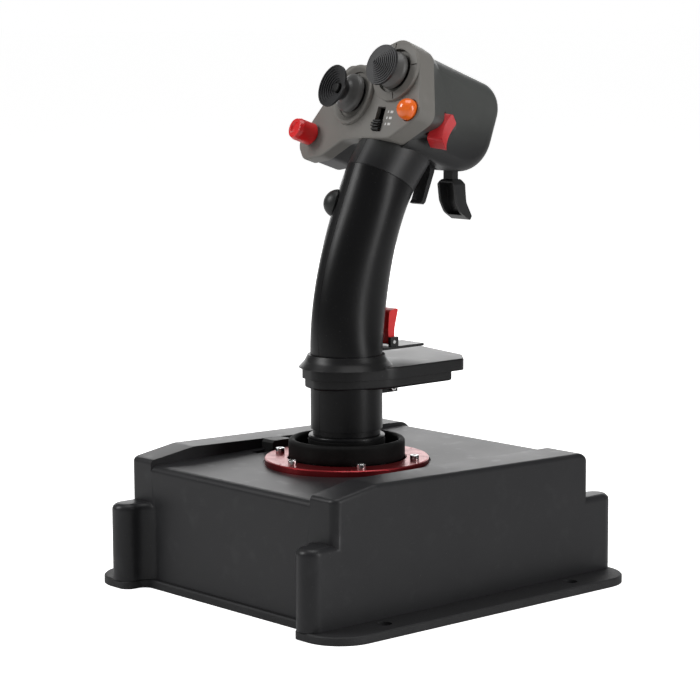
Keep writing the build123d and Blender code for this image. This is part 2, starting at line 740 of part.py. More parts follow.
# ---- Red paddle at the front of the handle --------------------------------------------------------

def build_paddle():
    y, z = paddle_pivot_y, paddle_pivot_z
    low = palm_top_z + palm_skirt_h + 0.8
    plate_x = (-paddle_half_w - 3, paddle_half_w + 3)
    bracket = block(plate_x, (stick_y + handle_r - 5, y + 24), (low, low + bracket_t))
    for side in (-1, 1):
        inner = side * (paddle_half_w + 0.3)
        bracket += block(tuple(sorted((inner, inner + side * 2.2))), (y - 3.2, y + 3.2), (low, z + 3.0))
    bracket = bracket - cylinder(handle_r, 0, 300, 0, stick_y) - grip_solid()
    bracket -= rod(pin_r, (-20, y, z), (20, y, z))
    keep("paddle_bracket", bracket)
    shape = [(y - 2.6, z - 1.8), (y + 2.0, z - 1.8), (y + 2.2, z + 8), (y + 5.2, z + 19.5),
             (y + 3.6, z + 20.2), (y - 2.0, z + 19), (y - 3.0, z + 8)]
    blade = side_prism(shape, [1.5, 1.5, 12, 0.7, 0.6, 2.5, 12], paddle_half_w)
    blade -= rod(pin_r, (-20, y, z), (20, y, z))
    keep("red_paddle", blade)


# ---- Head ---------------------------------------------------------------------------------------------

def head_plane():
    """The face's plane: its origin is the middle of the face's lower edge."""
    end = spine_point(spine_end)
    t = radians(head_tilt)
    origin = (0, end.Y - head_setback, end.Z + head_rise)
    return Plane(origin=origin, x_dir=(1, 0, 0), z_dir=(0, -cos(t), sin(t)))


def left_plane():
    """The left lobe's plane, turned about the crease."""
    return Plane(head_plane().location * Pos(crease_x, 0, 0) * Rot(0, -lobe_turn, 0))


def on_head(shape):
    return head_plane().location * shape


def on_left(shape):
    return left_plane().location * shape


def right_lobe(size=1.0, inset=0.0):
    """Outline of the face's right lobe, scaled about its middle."""
    left = crease_x + (0 if size == 1.0 else -12)
    points = [(left, 1.0), (19, 1.5), (41.5, 17), (25.5, 57.5), (9, 64.5), (left, 59)]
    points = [(6 + (x - 6) * size, 29 + (y - 29) * size) for x, y in points]
    face = outline(points, [0, 6 * size, 8 * size, 12 * size, 14 * size, 0])
    return offset(face, -inset) if inset else face


def left_lobe(inset=0.0):
    """Outline of the face's left lobe, in its own plane."""
    points = [(2.5, 1), (-19, 0), (-38, -10.5), (-57, -13), (-68, -2), (-34, 48), (-15, 48), (2.5, 60)]
    face = outline(points, [0, 15, 15, 8, 8, 8, 5, 0])
    return offset(face, -inset) if inset else face


def below(face, top, bottom):
    """Prism from a flat outline, between two depths."""
    return Pos(0, 0, bottom) * extrude(face, top - bottom)


def nose_box(inset=0.0, start=None):
    """Long box of the head that points forward."""
    start = right_band if start is None else start
    low, high = inset, nose_h - inset
    points = [(-start, low), (-nose_depth + inset, low), (-nose_depth + inset, high), (-start, high)]
    view = Plane(origin=(0, 0, 0), x_dir=(0, 0, 1), z_dir=(-1, 0, 0))
    left, right = nose_left + inset, nose_right - inset
    side_view = view.location * outline([(z, y) for z, y in points],
                                        [0, nose_chin_r - inset, nose_top_r - inset, 0])
    box = Pos(right, 0, 0) * extrude(side_view, right - left)
    rim = [e for e in box.edges() if not near_depth(e, start) and abs(e.tangent_at(0.5).X) < 0.5]
    return fillet(rim, nose_side_r - inset)


def near_depth(edge, depth):
    return abs(edge.center().Z + depth) < 0.01


def neck_solid(inset=0.0):
    """From the top of the handle up into the head, in world coordinates."""
    _, half_x, half_y = grip_ovals[-1]
    low = spine_plane(spine_end).location * Ellipse(half_x - inset, half_y - inset)
    flat = Plane(origin=(0, 6.0, -26.5), x_dir=(1, 0, 0), z_dir=(0, 1, 0))
    high = on_head(flat.location * Ellipse(half_x + 0.4 - inset, 24.5 - inset))
    return loft([low, high])


def right_rear(inset=0.0):
    """Tapering part between the face's right lobe and the nose."""
    front = Pos(0, 0, -right_band) * right_lobe(1.0, inset)
    back = Pos(0, 0, -45.0) * right_lobe(0.6, inset)
    return loft([front, back], ruled=True)


def left_rear(inset=0.0):
    """Rounded back of the left lobe."""
    depth = 22.0 - inset
    solid = below(left_lobe(1.2 + inset), -left_band, -left_band - depth)
    back = solid.faces().sort_by(Axis.Z)[0]
    rim = [e for e in back.outer_wire().edges() if e.center().X < 0]
    return fillet(rim, 5.0)


def nose_ribs(outer):
    """Ribs inside the nose that hold the pins of the trigger, the fore lever and the side lever."""
    ribs = None
    for side in (-1, 1):
        for x, gap, y, z in ((trigger_stem_half, slide_gap, trigger_y, trigger_pivot_z),
                             (fore_half_w, slide_gap, fore_pivot_y, fore_pivot_z)):
            near = side * (x + gap)
            x_span = tuple(sorted((near, near + side * 3.0)))
            rib = block(x_span, (y - 5, y + 5), (z - 30, z + 4.5))
            ribs = rib if ribs is None else ribs + rib
    return ribs & outer


def side_ribs(outer):
    ribs = None
    for side in (-1, 1):
        near = side * (side_lever_w / 2 + slide_gap)
        x_span = tuple(sorted((near, near + side * 2.6)))
        rib = block(x_span, (side_lever_l / 2 - 6, side_lever_l / 2 + 2), (-9, 0))
        ribs = rib if ribs is None else ribs + rib
    return (side_plane().location * ribs) & outer


def head_screw_rods(r, low, high):
    """Rods along X at the places where screws join the two head shells."""
    rods = [rod(r, (low, y, -z), (high, y, -z)) for y, z in head_screw_spots]
    return [on_head(piece) for piece in rods]


def build_shells():
    outer = on_head(nose_box() + right_rear()) + on_left(left_rear()) + neck_solid()
    in_front = on_head(below(right_lobe(1.0, -seam_gap), 60, -right_band)) \
        + on_left(below(left_lobe(-seam_gap), 60, -left_band))
    inner = on_head(nose_box(shell_wall, right_band - 3) + right_rear(shell_wall)) \
        + on_left(left_rear(shell_wall)) + neck_solid(shell_wall)
    shell = outer - inner
    shell += nose_ribs(outer) + side_ribs(outer)
    for boss in head_screw_rods(screw_boss_r, nose_left, nose_right):
        shell += boss & outer
    shell = shell - in_front - neck_foot_cutter()
    for hole in head_screw_rods(m3_r, -9, 9) + head_screw_rods(m3_head_r + 0.2, -60, -9):
        shell -= hole
    w = trigger_stem_half + slide_gap
    shell -= block((-w, w), (trigger_y - 8, trigger_y + 3.6), (trigger_pivot_z - 30, trigger_pivot_z + 6))
    w = fore_half_w + slide_gap
    shell -= block((-w, w), (fore_pivot_y - 5, fore_pivot_y + 4), (fore_pivot_z - 30, fore_pivot_z + 5))
    shell -= rod(pin_r, (-20, trigger_y, trigger_pivot_z), (20, trigger_y, trigger_pivot_z))
    shell -= rod(pin_r, (-15, fore_pivot_y, fore_pivot_z), (15, fore_pivot_y, fore_pivot_z))
    pocket = block((-side_lever_w / 2 - slide_gap, side_lever_w / 2 + slide_gap),
                   (-side_lever_l / 2 - slide_gap, side_lever_l / 2 + slide_gap), (-9, 20))
    shell -= side_plane().location * (pocket + side_pin(pin_r, side_pin_half() + 0.2))
    keep("head_shell_right", half(shell, 1))
    keep("head_shell_left", half(shell, -1))
    screw = Rot(0, -90, 0) * socket_screw(m3_r, m3_head_r, m3_head_h, 17)
    screws = [Pos(-9, y, z) * screw for y, z in handle_screw_spots()]
    screws += [on_head(Pos(-9, y, -z) * screw) for y, z in head_screw_spots]
    keep("grip_screws", Compound(screws))
    keep("neck_sleeve", neck_sleeve())


def neck_sleeve():
    """Oval sleeve inside the seam between the handle and the neck."""
    inset = max(handle_wall, shell_wall) + run_gap
    near_seam = spine_plane(spine_end).location * block((-60, 60), (-60, 60), (-sleeve_down, sleeve_up))
    outer = (grip_solid(inset) + neck_solid(inset)) & near_seam
    inner = (grip_solid(inset + sleeve_t) + neck_solid(inset + sleeve_t)) & near_seam
    return outer - inner


def neck_foot_cutter():
    """Hairline between the neck and the handle."""
    plane = spine_plane(spine_end)
    return plane.location * block((-60, 60), (-60, 60), (-40, 2 * seam_gap))


def build_face():
    right = below(right_lobe(), 0, -right_band)
    rim = right.faces().sort_by(Axis.Z)[-1].outer_wire().edges()
    right = fillet([e for e in rim if e.center().X > crease_x + 0.01], face_edge_r)
    left = below(left_lobe(), 0, -left_band)
    rim = left.faces().sort_by(Axis.Z)[-1].outer_wire().edges()
    left = fillet([e for e in rim if e.center().X < 2.4], face_edge_r)
    left -= block((0, 50), (-50, 100), (-50, 50))
    right_room = below(right_lobe(1.0, face_wall), -face_wall, -right_band - 1)
    right_room += block((crease_x - 12, crease_x + 8), (5, 54), (-right_band - 1, -face_wall))
    left_room = below(left_lobe(face_wall), -face_wall, -left_band - 1)
    plate = on_head(right) + on_left(left)
    plate = plate - (on_head(right_room) + on_left(left_room))
    plate -= on_head(below(right_lobe(1.0, -3.0), -right_band, -right_band - 9))
    x, y = cone_hat_at
    plate -= on_head(cylinder(socket_r, -20, 5, x, y))
    x, y = ball_button_at
    plate -= on_head(cylinder(ball_r + slide_gap, -20, 5, x, y))
    plate -= on_head(block(slot_x, slot_y, (-20, 5)))
    x, y = dish_hat_at
    plate -= on_left(cylinder(socket_r, -20, 5, x, y))
    x, y = red_button_at
    plate -= on_left(cylinder(red_stem_r + slide_gap, -20, 5, x, y))
    keep("face_plate", largest(plate))

    disc = revolved([(disc_bore_r, 0), (disc_r, 0), (disc_r, 2.2), (disc_bore_r, 3.0)], [0, 0, 0.6, 0.3])
    for i in range(4):
        disc -= Rot(0, 0, 15 + 90 * i) * block((disc_r - 4.6, disc_r - 0.6), (-0.35, 0.35), (1.7, 5))
    x, y = cone_hat_at
    keep("cone_hat_bezel", on_head(Pos(x, y, 0) * disc))
    ring = revolved([(ring_in_r, 0), (19.0, 0), (19.0, 2.6), (ring_in_r + 2.6, 2.6), (ring_in_r, 1.0)],
                    [0, 0, 1.2, 0.6, 0])
    x, y = dish_hat_at
    keep("dish_hat_bezel", on_left(Pos(x, y, 0) * ring))


def largest(shape):
    return sorted(shape.solids(), key=lambda s: s.volume)[-1]


# ---- Hats: a cap on a stem that tilts two ways in a cross ring ----------------------------------------

def build_hat(name, place, size, cap):
    """Socket, cross ring and stem of one hat, and its cap. z = 0 is the surface it stands on."""
    pivot = hat_pivot * size
    out, bore = socket_r * size, 8.8 * size
    pin, gap = 0.9 * size, run_gap
    socket = tube(out, bore, -15 * size, -thumb_sink) + cylinder(out, -15 * size, -13.4 * size)
    socket -= rod(pin + gap, (-out - 1, 0, pivot), (out + 1, 0, pivot))
    cross = tube(7.6 * size, 5.4 * size, pivot - 1.7 * size, pivot + 1.7 * size)
    cross += rod(pin, (6.5 * size, 0, pivot), (out - 0.2, 0, pivot))
    cross += rod(pin, (-6.5 * size, 0, pivot), (0.2 - out, 0, pivot))
    cross -= rod(pin + gap, (0, -20, pivot), (0, 20, pivot))
    cross -= cylinder(5.4 * size, -30, 0)
    top = cap.bounding_box().min.Z + 1.0 * size
    stem = cylinder(3.0 * size, -11 * size, top)
    stem += rod(pin, (0, -7.3 * size, pivot), (0, 7.3 * size, pivot))
    keep(name + "_socket", place(socket))
    keep(name + "_cross", place(cross))
    keep(name + "_stem", place(stem))
    keep(name + "_cap", place(cap - cylinder(3.0 * size, -30, top)))


def stepped_cone(r, low, high, steps):
    """Cone of concentric steps about Z."""
    points = [(0, low), (r, low)]
    for i in range(steps):
        z = low + (high - low) * (i + 1) / steps
        points += [(r * (1 - i / steps), z), (r * (1 - (i + 1) / steps), z)]
    return revolved(points[:-1] + [(0, high)])


def bell(r, low, high, top_r):
    """Satin skirt below a cap: a hollow bell about Z."""
    wall = 1.4
    outer = revolved([(0, low), (r, low), (r - 0.4, low + 2.6), (top_r + 1.4, high - 1.6), (top_r, high),
                      (0, high)], [0, 0, 3.0, 3.0, 0, 0])
    inner = revolved([(0, low - 1), (r - wall, low - 1), (r - wall, low + 1.8), (top_r - wall, high - 3.0),
                      (0, high - 3.0)])
    return outer - inner


def cone_cap():
    r = 12.6
    rim = cylinder(r, 11.2, 13.6)
    rim = chamfer(rim.edges().sort_by(Axis.Z)[:1], 1.4)
    return bell(11.6, hat_lift, 11.4, 6.6) + rim + stepped_cone(r - 0.2, 13.6, 21.0, cone_steps)


def dish_cap():
    r, low, high = 13.2, 9.4, 18.4
    points = [(0, low), (6.2, low), (6.2, low + 2.2), (7.4, low + 2.4), (7.6, low + 4.4), (r, high - 1.4),
              (r, high), (r - 1.0, high)]
    for i in range(dish_steps):
        radius = (r - 1.0) - (r - 1.0 - dish_button_r - slide_gap) * (i + 1) / dish_steps
        z = high - 5.0 * (i + 1) / dish_steps
        points += [(points[-1][0], z), (radius, z)]
    points += [(dish_button_r + slide_gap, low + 1.6), (0, low + 1.6)]
    return bell(12.4, hat_lift, 9.6, 6.2) + revolved(points)


def dome_cap():
    r, low, waist, top = thumb_rim_r, 1.2, 2.4, 9.6
    rise = top - waist
    sphere_r = (r * r + rise * rise) / (2 * rise)
    dome = Pos(0, 0, top - sphere_r) * Sphere(sphere_r) & block((-r, r), (-r, r), (waist, top + 1))
    foot = revolved([(0, low), (r - 1.2, low), (r, waist), (0, waist)])
    return dome + foot


def thumb_plane():
    """Plane that the thumb hat stands on, on the pilot's left of the handle."""
    flat = spine_plane(thumb_lean)
    turn = radians(thumb_turn)
    normal = flat.x_dir * -cos(turn) + flat.y_dir * -sin(turn)
    return Plane(origin=flat.origin + normal * thumb_reach, x_dir=flat.z_dir, z_dir=normal)


def build_hats():
    x, y = cone_hat_at
    build_hat("cone_hat", lambda shape: on_head(Pos(x, y, 0) * shape), 1.0, cone_cap())
    u, v = dish_hat_at
    build_hat("dish_hat", lambda shape: on_left(Pos(u, v, 0) * shape), 1.0, dish_cap())
    button = cylinder(dish_button_r, 11.2 + dish_button_travel, 15.4)
    button = fillet(button.edges().sort_by(Axis.Z)[-1:], 0.8)
    keep("dish_hat_button", on_left(Pos(u, v, 0) * button))
    build_hat("thumb_hat", lambda shape: thumb_plane().location * shape, thumb_size, dome_cap())


# ---- Buttons and the slide switch on the face --------------------------------------------------------

def button_switch(x, y):
    """Tactile switch on a board, under a button."""
    return block((x - switch_half, x + switch_half), (y - switch_half, y + switch_half), (board_depth, -10.9))


def build_buttons():
    x, y = ball_button_at
    ball = Pos(0, 0, 1.6) * Sphere(ball_r) & block((-20, 20), (-20, 20), (-3, 20))
    flange = cylinder(ball_r + 1.4, -4.6, -3.2, x, y) & below(right_lobe(1.0, face_wall + slide_gap), -3, -5)
    ball += Pos(-x, -y, 0) * flange + cylinder(2.6, -9, -3)
    keep("ball_button", on_head(Pos(x, y, 0) * ball))
    u, v = red_button_at
    knob = revolved([(0, 1.9), (red_button_r, 1.9), (red_button_r, 12.4), (red_button_r - 1.0, red_button_h),
                     (red_button_r - 2.6, red_button_h), (red_button_r - 3.4, red_button_h - 1.4),
                     (0, red_button_h - 1.4)], [0, 0.5, 1.0, 0.6, 0.6, 0, 0])
    knob += cylinder(red_stem_r, -9, 2) + cylinder(red_stem_r + 1.6, -4.8, -3.3)
    keep("red_button", on_left(Pos(u, v, 0) * knob))

    x_mid = (slot_x[0] + slot_x[1]) / 2
    half_w = (slot_x[1] - slot_x[0]) / 2 - slide_gap
    low = slot_y[0] + slide_gap
    knob = block((x_mid - half_w, x_mid + half_w), (low, low + switch_h), (-4.5, 1.2))
    for i in range(4):
        y = low + switch_h * (i + 0.5) / 4
        ridge_h = 2.9 if i in (1, 2) else 2.0
        knob += block((x_mid - half_w, x_mid + half_w), (y - 0.45, y + 0.45), (1.0, ridge_h))
    knob += block((x_mid - 1.5, x_mid + 1.5), (low + 1.5, low + switch_h - 1.5), (-8, -4))
    keep("mode_switch_knob", on_head(knob))
    case = block((x_mid - 4.5, x_mid + 4.5), (slot_y[0] - 1, slot_y[1] + 2), (board_depth, -5.0))
    case -= block((x_mid - 2.0, x_mid + 2.0), (slot_y[0] + 1, slot_y[1] - 0.4), (-9.5, 0))
    x, y = ball_button_at
    ball_switch = button_switch(x, y)
    board = outline([(-1, 8), (20, 8), (33.5, 18.5), (33.5, 21.5), (21, 50), (-1, 50)])
    board = below(board, board_depth, board_depth - 1.6)
    keep("face_board", on_head(board + case + ball_switch))
    u, v = red_button_at
    board = outline([(-56, -4), (-37, -4), (-26, 3), (-26, 12), (-33, 36), (-41, 26), (-54, 8)])
    board = below(board, board_depth, board_depth - 1.6) + button_switch(u, v)
    keep("lobe_board", on_left(board))


# ---- Trigger and levers --------------------------------------------------------------------------------

def side_plane():
    """Plane of the red side lever: x runs away from the face and z out of the shell."""
    lean = radians(side_lever_lean)
    plane = Plane(origin=side_lever_at, x_dir=(-sin(lean), 0, -cos(lean)), z_dir=(cos(lean), 0, -sin(lean)))
    return Plane(head_plane().location * plane.location * Rot(0, 0, side_lever_roll))


def side_pin_half():
    return side_lever_w / 2 + slide_gap + 1.8


def side_pin(r, half_length):
    y, z = side_lever_l / 2 - 2.4, -4.4
    return rod(r, (-half_length, y, z), (half_length, y, z))


def build_side_lever():
    w, l = side_lever_w / 2, side_lever_l / 2
    body = block((-w, w), (-l, l), (-6.5, 4.2))
    body -= rod(26.0, (-20, 1.0, 27.4), (20, 1.0, 27.4))
    body = fillet(body.edges().filter_by(Axis.Z), 1.6)
    body -= block((-w + 1.6, w - 1.6), (-l + 1.6, l - 5.5), (-20, -3.4))
    body -= side_pin(pin_r, 20)
    keep("side_lever", side_plane().location * body)


def build_pins():
    """One pin for each of the four levers."""
    r = pin_r - run_gap
    pins = [side_plane().location * side_pin(r, side_pin_half())]
    places = [(trigger_stem_half, trigger_y, trigger_pivot_z), (fore_half_w, fore_pivot_y, fore_pivot_z),
              (paddle_half_w - slide_gap, paddle_pivot_y, paddle_pivot_z)]
    for half_w, y, z in places:
        half_l = half_w + slide_gap + pin_grip
        pins.append(rod(r, (-half_l, y, z), (half_l, y, z)))
    keep("lever_pins", Compound(pins))


def build_trigger():
    y, z = trigger_y, trigger_pivot_z
    boss = rod(3.4, (-trigger_stem_half, y, z), (trigger_stem_half, y, z))
    stem = side_prism([(y - 2.4, z + 1), (y + 2.4, z + 1), (y + 2.4, z - 18.5), (y - 2.6, z - 18.5)], None,
                      trigger_stem_half)
    shape = [(y - 4.4, z - 17.4), (y + 4.4, z - 17.4), (y + 5.2, z - 26), (y + 5.8, z - 32),
             (y + 10.6, z - 40.6), (y + 9.2, z - 43.4), (y + 1.4, z - 38.4), (y - 2.6, z - 31)]
    blade = side_prism(shape, [1.5, 1.5, 0, 8, 0.8, 1.0, 7, 10], trigger_half_w)
    room = [(y - 20, z - 19.4), (y + 2.2, z - 19.4), (y + 3.0, z - 26), (y + 3.4, z - 32.4),
            (y + 8.2, z - 41.2), (y + 6.0, z - 40.8), (y - 4.0, z - 36.6), (y - 20, z - 34)]
    blade -= side_prism(room, None, trigger_half_w - 1.9)
    for side in (-1, 1):
        edge, root = side * trigger_half_w, side * trigger_stem_half
        notch = [(edge, z - 17), (root, z - 17), (edge, z - 20.5)]
        cutter = Plane(origin=(0, y + 10, 0), x_dir=(1, 0, 0), z_dir=(0, -1, 0)).location * outline(notch)
        blade -= extrude(cutter, 30)
    trigger = boss + stem + blade - rod(pin_r, (-20, y, z), (20, y, z))
    keep("trigger", trigger)

    y, z = fore_pivot_y, fore_pivot_z
    boss = rod(3.2, (-fore_half_w, y, z), (fore_half_w, y, z))
    shape = [(y - 2.0, z), (y + 2.0, z), (y + 0.6, z - 8), (y - 6.8, z - 26.2), (y - 8.6, z - 27.6),
             (y - 11.0, z - 26.8), (y - 9.4, z - 25.0), (y - 3.4, z - 9)]
    lever = side_prism(shape, [0, 0, 6, 1.5, 0, 0, 1.0, 6], fore_half_w)
    lever = lever + boss - rod(pin_r, (-20, y, z), (20, y, z))
    keep("fore_lever", lever)


def build_all():
    build_base()
    build_gimbal()
    build_ring()
    build_electronics()
    build_latch()
    build_handle()
    build_palm_rest()
    build_paddle()
    build_shells()
    build_face()
    build_hats()
    build_buttons()
    build_side_lever()
    build_trigger()
    build_pins()


if __name__ == "__main__":
    build_all()
    os.makedirs("parts", exist_ok=True)
    for name, shape in NODES.items():
        export_step(shape, f"parts/{name}.step")
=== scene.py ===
"""Looks of a desk flight joystick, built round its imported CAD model.

Metres. +X is the pilot's right, +Y points away from the pilot and +Z is up.
"""
import json
import math

import bmesh
import bpy
from mathutils import Matrix, Vector


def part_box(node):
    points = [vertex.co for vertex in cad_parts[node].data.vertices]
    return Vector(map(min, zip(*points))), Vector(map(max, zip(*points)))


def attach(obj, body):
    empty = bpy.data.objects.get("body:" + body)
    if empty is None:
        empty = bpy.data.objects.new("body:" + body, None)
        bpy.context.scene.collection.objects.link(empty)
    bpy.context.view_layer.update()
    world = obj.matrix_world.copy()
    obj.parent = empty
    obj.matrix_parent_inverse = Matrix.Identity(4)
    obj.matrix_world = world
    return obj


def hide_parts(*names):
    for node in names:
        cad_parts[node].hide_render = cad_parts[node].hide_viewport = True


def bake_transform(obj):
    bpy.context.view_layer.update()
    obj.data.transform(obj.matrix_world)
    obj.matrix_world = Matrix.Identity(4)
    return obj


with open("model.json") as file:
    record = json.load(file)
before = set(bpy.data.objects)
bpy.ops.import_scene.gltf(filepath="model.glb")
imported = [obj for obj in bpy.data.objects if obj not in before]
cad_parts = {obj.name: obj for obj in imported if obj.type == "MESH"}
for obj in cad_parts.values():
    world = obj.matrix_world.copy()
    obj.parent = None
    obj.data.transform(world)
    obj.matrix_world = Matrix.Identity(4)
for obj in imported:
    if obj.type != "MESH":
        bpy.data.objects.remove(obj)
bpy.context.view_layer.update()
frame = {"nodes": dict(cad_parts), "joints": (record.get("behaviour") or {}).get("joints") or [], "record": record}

MM = 0.001
SMOOTH_ANGLE = math.radians(32)
EDGE_SOFTNESS = 0.35 * MM      # radius of the worn light line on moulded and machined edges
MERGE_DISTANCE = 0.002 * MM
NECK_SHADE_FULL = 20 * MM           # heights above the neck's foot where the neck's painted shade begins to lift and where it is gone
NECK_SHADE_END = 52 * MM
HAT_PIVOT_DEPTH = 7 * MM       # how far under the face the two big hats rock
SKIRT_CONE = 11.2 * MM         # heights above the face where the hats' grey skirts end
SKIRT_DISH = 9.4 * MM
BOARD_DEPTH = 15.9 * MM        # depth under the face where the face board's green ends
ALL_GREEN = 200 * MM           # a height that nothing on the other boards reaches
FLOOR_HALF = 60.0
FLOOR_LIFT = 0.84              # keeps the floor near white where the camera sees it
SKY_LIGHT = 0.17               # strength of the white world on everything but the camera
LAMP_TARGET = (0.0, 0.0, 0.18)


# ---- Shader maths ---------------------------------------------------------------------------------

class Value:
    """An output socket that takes part in arithmetic."""

    def __init__(self, paint, socket):
        self.paint = paint
        self.socket = socket

    def calc(self, operation, a, b, clamp=False):
        return self.paint.node("ShaderNodeMath", {"operation": operation, "use_clamp": clamp}, {0: a, 1: b})

    def __add__(self, other):
        return self.calc("ADD", self, other)

    def __sub__(self, other):
        return self.calc("SUBTRACT", self, other)

    def __mul__(self, other):
        return self.calc("MULTIPLY", self, other)

    def __gt__(self, other):
        return self.calc("GREATER_THAN", self, other)

    def __lt__(self, other):
        return self.calc("LESS_THAN", self, other)

    __radd__ = __add__
    __rmul__ = __mul__

    def clamped(self):
        return self.calc("ADD", self, 0.0, clamp=True)


class Paint:
    """One material under construction."""

    def __init__(self, name, **sockets):
        self.material = bpy.data.materials.new(name)
        self.material.use_nodes = True
        self.tree = self.material.node_tree
        self.shader = self.tree.nodes["Principled BSDF"]
        for label, number in sockets.items():
            self.shader.inputs[label.replace("_", " ").title().replace("Ior", "IOR")].default_value = number

    def node(self, kind, settings=None, inputs=None, output=0):
        """Add a node: its settings first, then the values or links of its sockets."""
        made = self.tree.nodes.new(kind)
        for name, setting in (settings or {}).items():
            if name == "stops":
                for stop, (place, shade) in zip(made.color_ramp.elements, setting):
                    stop.position = place
                    stop.color = shade
            else:
                setattr(made, name, setting)
        for name, given in (inputs or {}).items():
            self.plug(made.inputs[name], given)
        return Value(self, made.outputs[output])

    def plug(self, socket, given):
        if isinstance(given, Value):
            self.tree.links.new(given.socket, socket)
        else:
            socket.default_value = given

    def place(self, stretch=(1.0, 1.0, 1.0)):
        """Object coordinates, stretched along the axes."""
        point = self.node("ShaderNodeTexCoord", output="Object")
        if stretch == (1.0, 1.0, 1.0):
            return point
        return self.node("ShaderNodeMapping", {}, {"Vector": point, "Scale": stretch})

    def noise(self, size, detail=3.0, stretch=(1.0, 1.0, 1.0)):
        """Cloudy noise from 0 to 1, with features of about the given size."""
        inputs = {"Vector": self.place(stretch), "Scale": 1.0 / size, "Detail": detail}
        return self.node("ShaderNodeTexNoise", {}, inputs)

    def mask(self, size, low, high, detail=4.0, stretch=(1.0, 1.0, 1.0)):
        """Patches: 0 where the noise is under low, 1 where it is over high."""
        inputs = {"Value": self.noise(size, detail, stretch), "From Min": low, "From Max": high}
        return self.node("ShaderNodeMapRange", {"clamp": True}, inputs)

    def mix(self, factor, first, second):
        """Blend of two colours."""
        inputs = {0: factor, 6: opaque(first), 7: opaque(second)}
        return self.node("ShaderNodeMix", {"data_type": "RGBA"}, inputs, output=2)

    def mottle(self, dark, light):
        """Cloudy colour with faint rubbed patches, and the two masks behind it."""
        cloud = self.noise(38 * MM, 3.0)
        rubbed = self.mask(11 * MM, 0.58, 0.80, 6.0)
        return self.mix((0.55 * cloud + 0.35 * rubbed).clamped(), dark, light), cloud, rubbed

    def along(self, origin, axis):
        """Distance from a point, measured along an axis."""
        inputs = {0: self.place(), 1: tuple(axis)}
        dot = self.node("ShaderNodeVectorMath", {"operation": "DOT_PRODUCT"}, inputs, output="Value")
        return dot - Vector(origin).dot(Vector(axis))

    def around(self, centre):
        """Distance from an upright axis."""
        flat = self.node("ShaderNodeVectorMath", {"operation": "MULTIPLY"}, {0: self.place(), 1: (1, 1, 0)})
        inputs = {0: flat, 1: (centre[0], centre[1], 0)}
        return self.node("ShaderNodeVectorMath", {"operation": "DISTANCE"}, inputs, output="Value")

    def finish(self, colour, rough, height=None, depth=0.02 * MM, softness=EDGE_SOFTNESS):
        """Link colour and roughness, and the surface's relief over softened edges."""
        self.plug(self.shader.inputs["Base Color"], colour if isinstance(colour, Value) else opaque(colour))
        self.plug(self.shader.inputs["Roughness"], rough)
        normal = None
        if softness:
            normal = self.node("ShaderNodeBevel", {"samples": 4}, {"Radius": softness})
        if height is not None:
            inputs = {"Height": height, "Distance": depth, "Strength": 1.0}
            if normal:
                inputs["Normal"] = normal
            normal = self.node("ShaderNodeBump", {}, inputs)
        if normal:
            self.plug(self.shader.inputs["Normal"], normal)
        return self.material


def opaque(colour):
    """A colour as four numbers, or a link as it is."""
    return colour if isinstance(colour, Value) else (*colour, 1.0)


# ---- Finishes -------------------------------------------------------------------------------------

def moulding(name, dark, light, rough, grain=0.5 * MM, relief=0.012 * MM, shine=0.3):
    """Satin moulded plastic: mottled sheen, faint rubbed patches and a fine spark-eroded grain."""
    paint = Paint(name, specular_ior_level=shine)
    colour, cloud, rubbed = paint.mottle(dark, light)
    dust = paint.mask(0.8 * MM, 0.70, 0.78, 2.0)
    colour = paint.mix(0.12 * dust, colour, (0.35, 0.35, 0.34))
    sheen = rough + 0.10 * (cloud - 0.5) - 0.07 * rubbed + 0.06 * dust
    fine = paint.noise(grain, 2.0)
    return paint.finish(colour, sheen, fine, relief)


def head_with_painted_shade():
    """Dark grey head with painted shade on its neck: near black by the handle, lifting to the head's grey higher
    up.
    """
    paint = Paint("head_painted_neck_shade", specular_ior_level=0.35)
    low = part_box("head_shell_right")[0].z
    height = paint.node("ShaderNodeSeparateXYZ", {}, {"Vector": paint.place()}, output="Z")
    # painted shade mask: 0 low on the neck, rising to 1 higher up, by height above the neck's foot
    inputs = {"Value": height, "From Min": low + NECK_SHADE_FULL, "From Max": low + NECK_SHADE_END}
    painted_shade = paint.node("ShaderNodeMapRange", {"clamp": True, "interpolation_type": "SMOOTHSTEP"}, inputs)
    grey, cloud, rubbed = paint.mottle((0.060, 0.063, 0.060), (0.095, 0.099, 0.094))
    # painted shade: the near-black colour put on the neck where shade falls under the head
    black = paint.mix(cloud, (0.008, 0.008, 0.009), (0.017, 0.017, 0.018))
    fine = paint.noise(0.5 * MM, 2.0)
    sheen = 0.40 + 0.10 * (cloud - 0.5) - 0.07 * rubbed
    return paint.finish(paint.mix(painted_shade, black, grey), sheen, fine, 0.010 * MM)


def powder_coat():
    """Textured black powder coat: orange peel, with worn and dusty high spots."""
    paint = Paint("powder_coat")
    peel = paint.noise(0.9 * MM, 2.0)
    patches = paint.mask(24 * MM, 0.45, 0.75, 5.0)
    colour = paint.mix((0.5 * peel + 0.3 * patches).clamped(), (0.006, 0.006, 0.007), (0.020, 0.020, 0.022))
    return paint.finish(colour, 0.52 + 0.18 * peel - 0.06 * patches, peel, 0.22 * MM)


def rubber():
    """Matt moulded rubber with a bloom of dust."""
    paint = Paint("boot_rubber", specular_ior_level=0.15)
    bloom = paint.mask(9 * MM, 0.40, 0.85, 5.0)
    fine = paint.noise(0.35 * MM, 3.0)
    colour = paint.mix(bloom, (0.004, 0.004, 0.004), (0.011, 0.011, 0.0105))
    return paint.finish(colour, 0.62 + 0.12 * bloom + 0.06 * fine, fine, 0.02 * MM)


